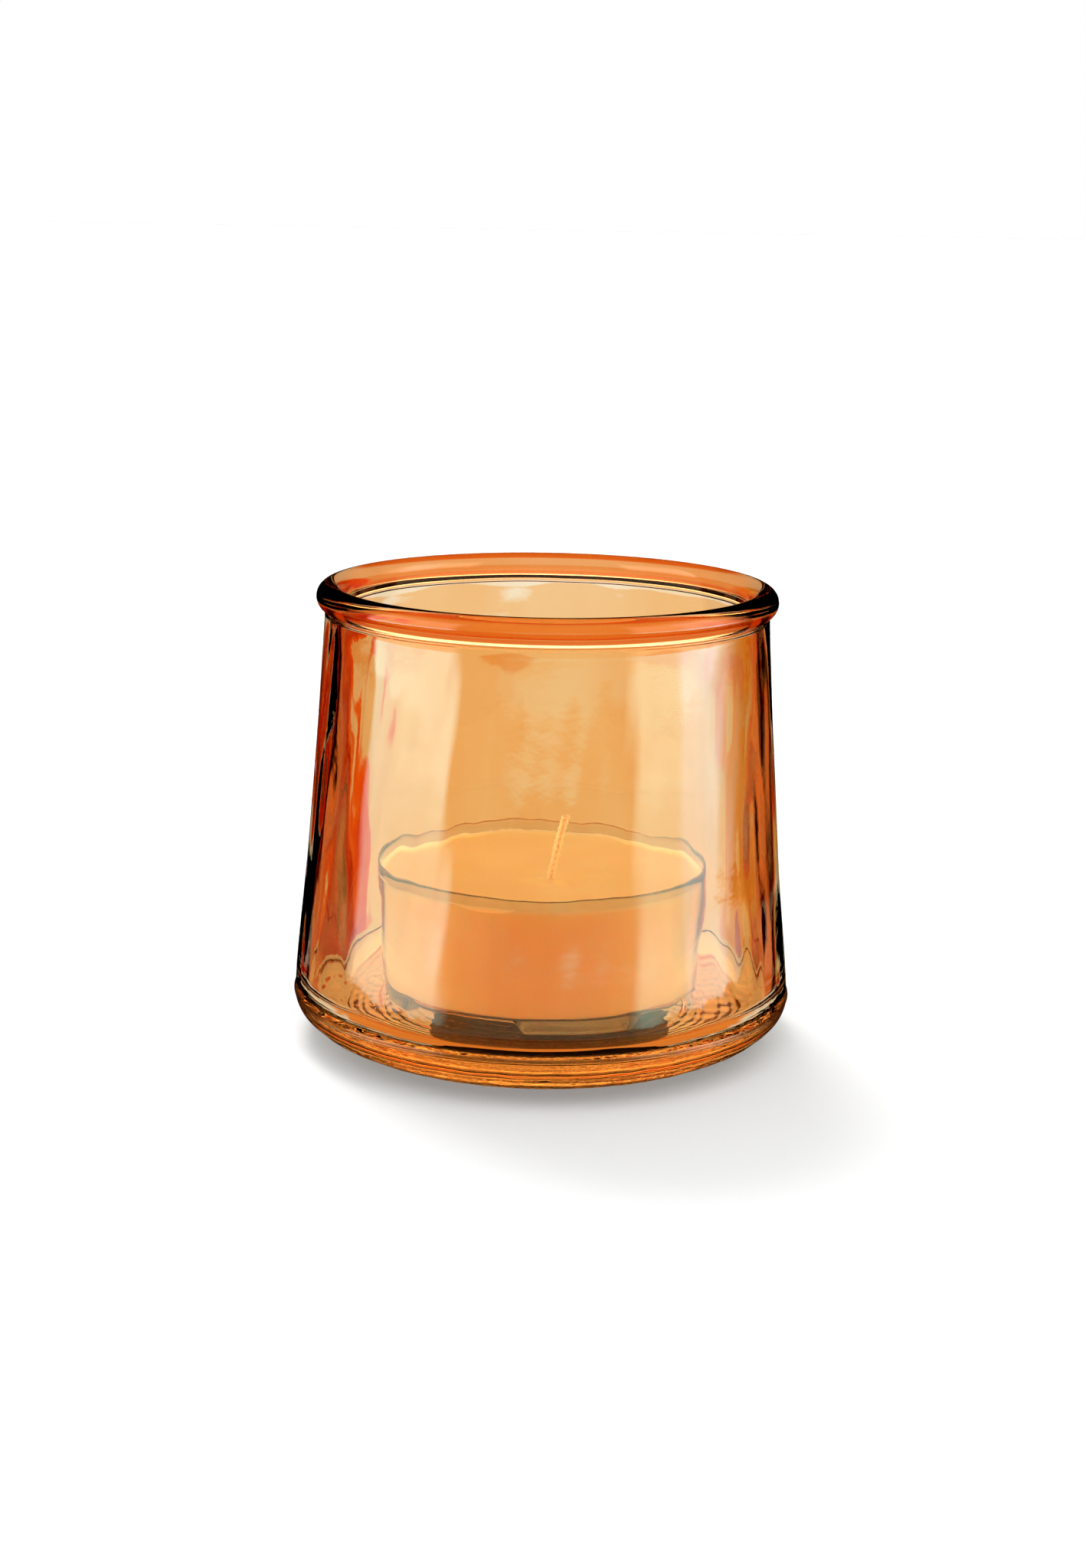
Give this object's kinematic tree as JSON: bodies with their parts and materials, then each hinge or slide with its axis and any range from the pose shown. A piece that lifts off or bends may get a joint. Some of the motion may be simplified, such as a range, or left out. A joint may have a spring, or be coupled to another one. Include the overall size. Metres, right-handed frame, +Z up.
{
  "type": "tealight holder",
  "caption": "Amber pressed glass tealight holder with a rolled rim and thick rounded base, holding a clear-cup tealight that lifts out.",
  "frame": {"origin": "centre of the underside, on the plane that the foot ring stands on", "axes": "+Z up along the jar's axis of revolution; the wick leans towards +X and -Y faces the viewer"},
  "size_m": [0.0606, 0.0606, 0.0555],
  "materials": {
    "amber_glass": "glossy, through-coloured, slightly wavy",
    "clear_plastic": "clear, thin, glossy",
    "paraffin": "smooth, waxy, slightly translucent",
    "cotton": "braided, wax-dipped",
    "tinned_steel": "thin bright sheet"
  },
  "bodies": {
    "jar": {"glass_jar": "amber_glass"},
    "tealight": {"tealight_cup": "clear_plastic", "wax": "paraffin", "wick": "cotton", "wick_sustainer": "tinned_steel"}
  },
  "joints": [
    {"name": "tealight_lift", "type": "slide", "parent": "jar", "child": "tealight", "axis": [0, 0, 1], "range_m": [0, 0.056]}
  ]
}
